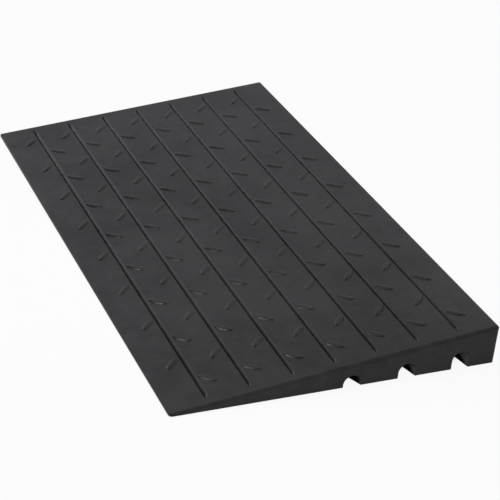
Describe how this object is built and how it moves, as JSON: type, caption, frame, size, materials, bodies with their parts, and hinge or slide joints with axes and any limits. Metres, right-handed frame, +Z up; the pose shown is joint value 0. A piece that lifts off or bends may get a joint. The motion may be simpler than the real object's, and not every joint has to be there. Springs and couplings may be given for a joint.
{
  "type": "rubber threshold ramp",
  "caption": "Solid rubber wedge ramp with a grooved, leaf-studded tread, a thin toe, an upright heel for a door step, and arched channels underneath for cables or water.",
  "frame": {"origin": "on the floor, under the middle of the footprint", "axes": "+X along the door, +Y up the run from the thin toe to the upright heel, +Z up"},
  "size_m": [1.1, 0.62, 0.0759],
  "materials": {
    "tread_rubber": "satin black pressed rubber with a fine dull grain",
    "core_rubber": "matt black pressed rubber"
  },
  "bodies": {
    "root": {"tread_cap": "tread_rubber", "core_wedge": "core_rubber"}
  },
  "joints": []
}
